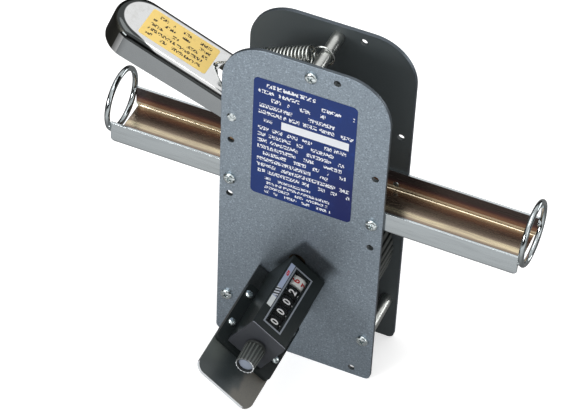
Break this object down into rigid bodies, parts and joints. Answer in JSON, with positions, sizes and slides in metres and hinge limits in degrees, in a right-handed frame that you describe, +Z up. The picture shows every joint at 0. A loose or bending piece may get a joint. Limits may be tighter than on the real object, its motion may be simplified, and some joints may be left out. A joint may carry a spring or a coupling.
{
  "type": "cable length counter",
  "caption": "Counter for cable and rope: a sprung roller presses the line on a ribbed measuring wheel in a trough, and gears turn a reset counter.",
  "frame": {"origin": "middle of the front plate's lower edge, in the middle of the sheet", "axes": "+X along the trough to its long end, +Y from the front plate to the rear plate, +Z up"},
  "size_m": [0.2726, 0.1361, 0.239],
  "materials": {
    "plate_grey": "hammered grey enamel",
    "zinc": "bright zinc plating",
    "chrome": "polished plating",
    "wheel_metal": "satin cast metal",
    "steel": "bright drawn steel",
    "bronze": "plain bearing metal",
    "black_enamel": "gloss black",
    "black_plastic": "satin black",
    "charcoal_plastic": "satin charcoal",
    "label_blue": "printed foil",
    "label_yellow": "printed foil",
    "frame_white": "printed line",
    "window": "clear",
    "figures_black": "satin with white figures",
    "figures_white": "satin with red figures",
    "spring_steel": "oiled wire"
  },
  "bodies": {
    "frame": {"front_plate": "plate_grey", "rear_plate": "plate_grey", "top_post": "zinc", "lower_left_post": "zinc", "lower_right_post": "zinc", "front_plate_screws": "zinc", "rear_plate_screws": "zinc", "plate_label": "label_blue", "guide_channel": "chrome", "left_ring": "chrome", "right_ring": "chrome", "front_wheel_bush": "bronze", "rear_wheel_bush": "bronze", "input_bush": "bronze", "pivot_pin": "zinc", "pivot_spacers": "steel", "return_spring": "spring_steel", "counter_bracket": "black_enamel", "bracket_screws": "zinc", "counter_base": "black_plastic", "counter_housing": "black_plastic", "counter_end_cap": "charcoal_plastic", "window_bezel": "frame_white", "window_lens": "window", "legend_strip": "frame_white", "counter_screws": "zinc", "counter_nuts": "zinc"},
    "lever": {"handle_lever": "chrome", "handle_label": "label_yellow", "pivot_sleeve": "steel", "roller_axle": "steel", "axle_clips": "zinc", "roller_washers": "steel"},
    "roller": {"pressure_roller": "black_plastic", "roller_bush": "bronze"},
    "wheel": {"measuring_wheel": "wheel_metal", "wheel_shaft": "steel", "wheel_gear": "steel", "shaft_collar": "steel", "collar_set_screw": "zinc"},
    "counter_drive": {"input_gear": "steel", "input_shaft": "steel", "tenths_wheel": "figures_white"},
    "units": {"units_wheel": "figures_black"},
    "tens": {"tens_wheel": "figures_black"},
    "hundreds": {"hundreds_wheel": "figures_black"},
    "thousands": {"thousands_wheel": "figures_black"},
    "reset": {"reset_knob": "black_plastic", "knob_cap": "charcoal_plastic", "reset_shaft": "steel"}
  },
  "joints": [
    {"name": "lever_pivot", "type": "hinge", "parent": "frame", "child": "lever", "pos_m": [-0.0454, 0.0195, 0.1813], "axis": [0, -1, 0], "range_deg": [0, 18.5], "stiffness_Nm_per_rad": 1.2, "springref_deg": -14.32, "deforming": ["return_spring"]},
    {"name": "roller_spin", "type": "hinge", "parent": "lever", "child": "roller", "pos_m": [0, 0.0195, 0.1482], "axis": [0, 1, 0], "continuous": true},
    {"name": "wheel_spin", "type": "hinge", "parent": "frame", "child": "wheel", "pos_m": [0, 0.0195, 0.0821], "axis": [0, 1, 0], "continuous": true},
    {"name": "counter_drive_spin", "type": "hinge", "parent": "frame", "child": "counter_drive", "pos_m": [0.002, -0.03, 0.06966], "axis": [0, 1, 0], "continuous": true},
    {"name": "units_spin", "type": "hinge", "parent": "frame", "child": "units", "pos_m": [0.002, -0.03, 0.06966], "axis": [0, 1, 0], "continuous": true},
    {"name": "tens_spin", "type": "hinge", "parent": "frame", "child": "tens", "pos_m": [0.002, -0.03, 0.06966], "axis": [0, 1, 0], "continuous": true},
    {"name": "hundreds_spin", "type": "hinge", "parent": "frame", "child": "hundreds", "pos_m": [0.002, -0.03, 0.06966], "axis": [0, 1, 0], "continuous": true},
    {"name": "thousands_spin", "type": "hinge", "parent": "frame", "child": "thousands", "pos_m": [0.002, -0.03, 0.06966], "axis": [0, 1, 0], "continuous": true},
    {"name": "reset_spin", "type": "hinge", "parent": "frame", "child": "reset", "pos_m": [0.002, -0.03, 0.06966], "axis": [0, 1, 0], "continuous": true}
  ],
  "couplings": [
    {"joint": "counter_drive_spin", "follows": "wheel_spin", "ratio": -1},
    {"joint": "units_spin", "follows": "wheel_spin", "ratio": -0.1},
    {"joint": "tens_spin", "follows": "wheel_spin", "ratio": -0.01},
    {"joint": "hundreds_spin", "follows": "wheel_spin", "ratio": -0.001},
    {"joint": "thousands_spin", "follows": "wheel_spin", "ratio": -0.0001}
  ]
}
